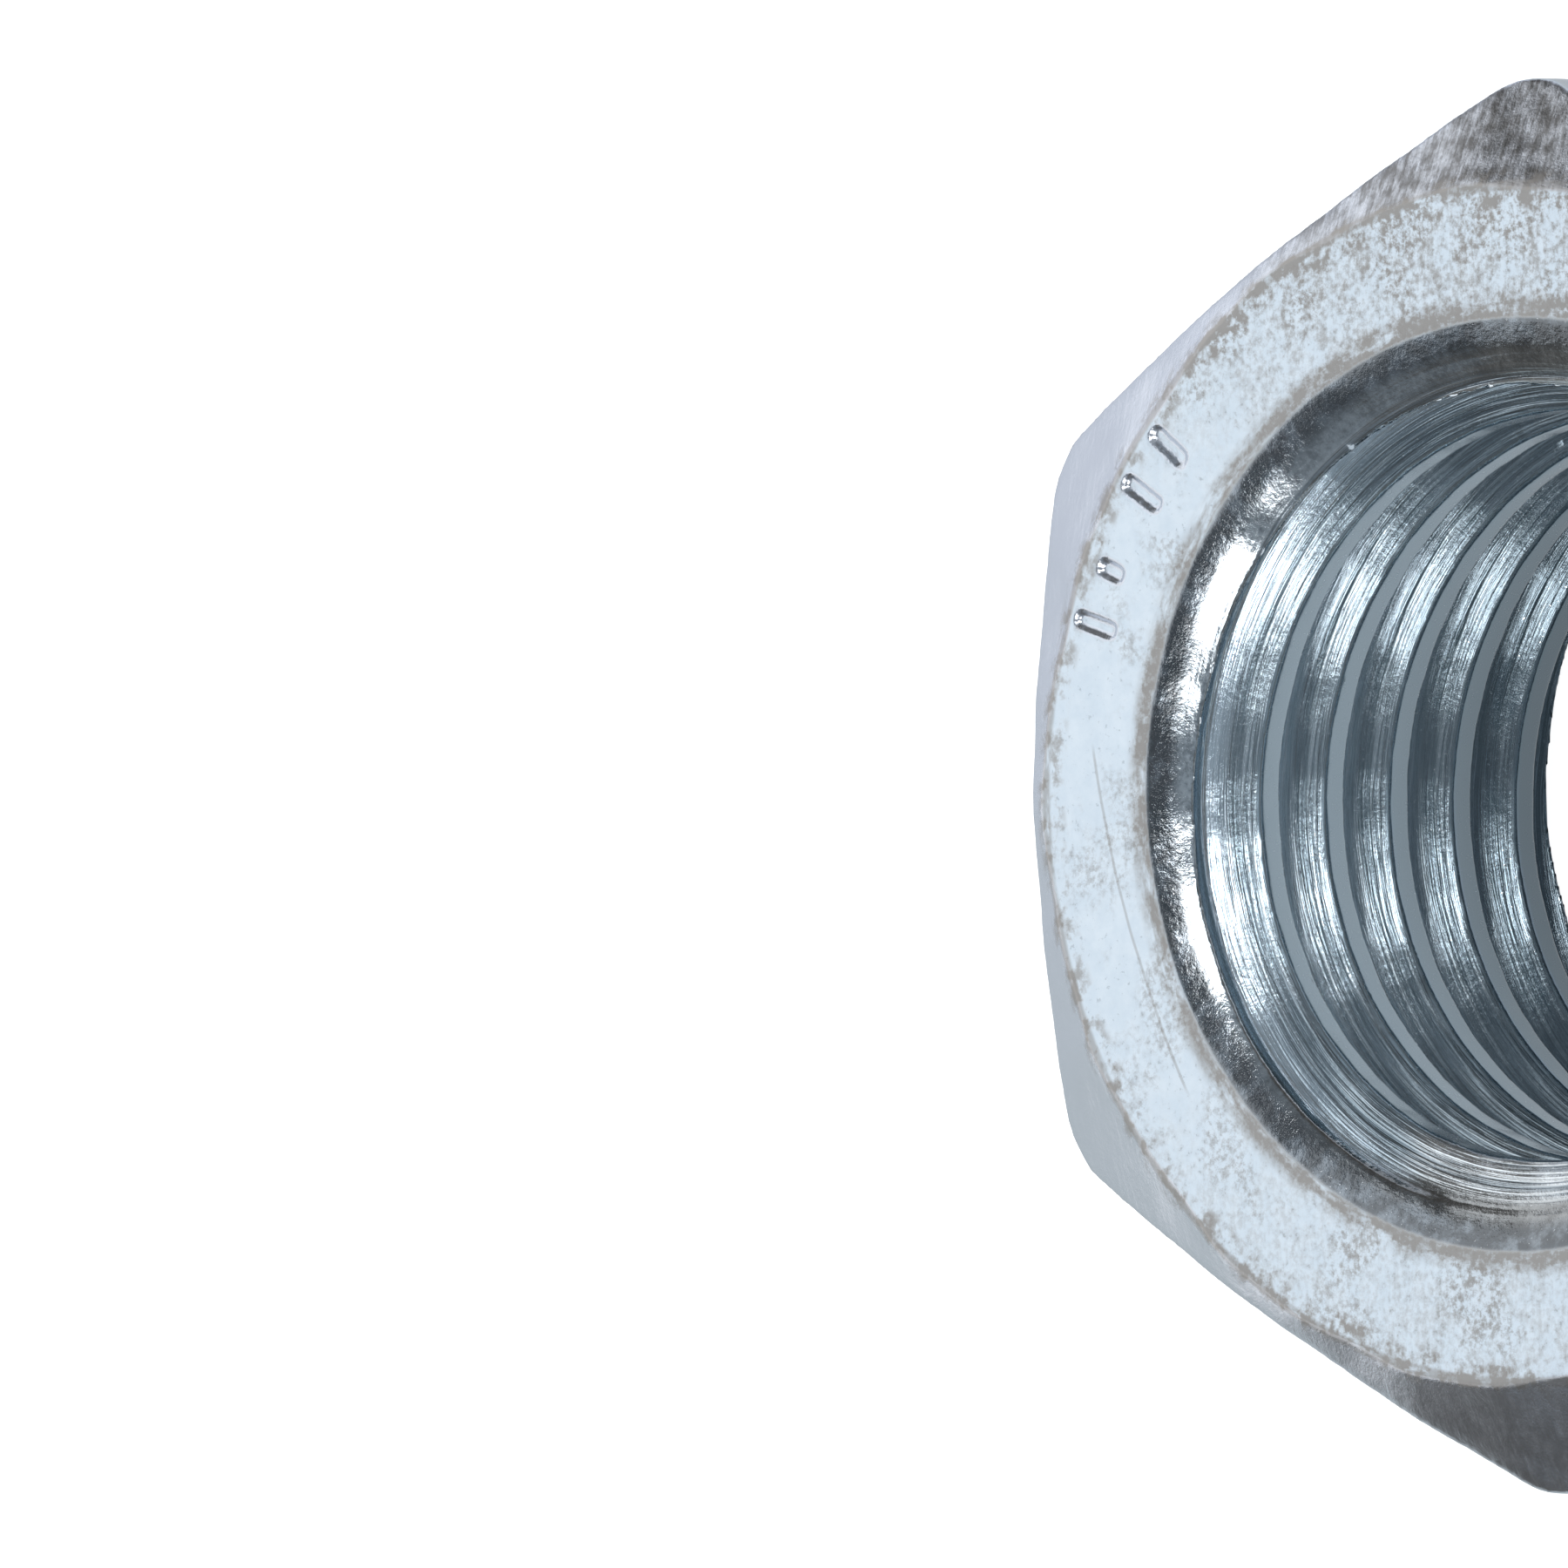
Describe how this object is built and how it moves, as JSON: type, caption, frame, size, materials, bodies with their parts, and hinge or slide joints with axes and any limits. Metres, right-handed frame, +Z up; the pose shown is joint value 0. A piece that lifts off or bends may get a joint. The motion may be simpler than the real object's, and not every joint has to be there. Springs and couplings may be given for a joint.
{
  "type": "hex nut",
  "caption": "Steel hex nut with a coarse right-hand internal thread, wide countersunk mouths, corner chamfers at both ends and a bright zinc finish.",
  "frame": {"origin": "centre of the lower bearing face, on the thread axis", "axes": "+Z up along the thread axis, corners along +X and -X, wrench flats facing +Y and -Y"},
  "size_m": [0.04, 0.0352, 0.0177],
  "materials": {
    "zinc_plated_steel": "bright zinc plated, satin faces, glossier turned thread"
  },
  "bodies": {
    "root": {"hex_nut": "zinc_plated_steel"}
  },
  "joints": []
}
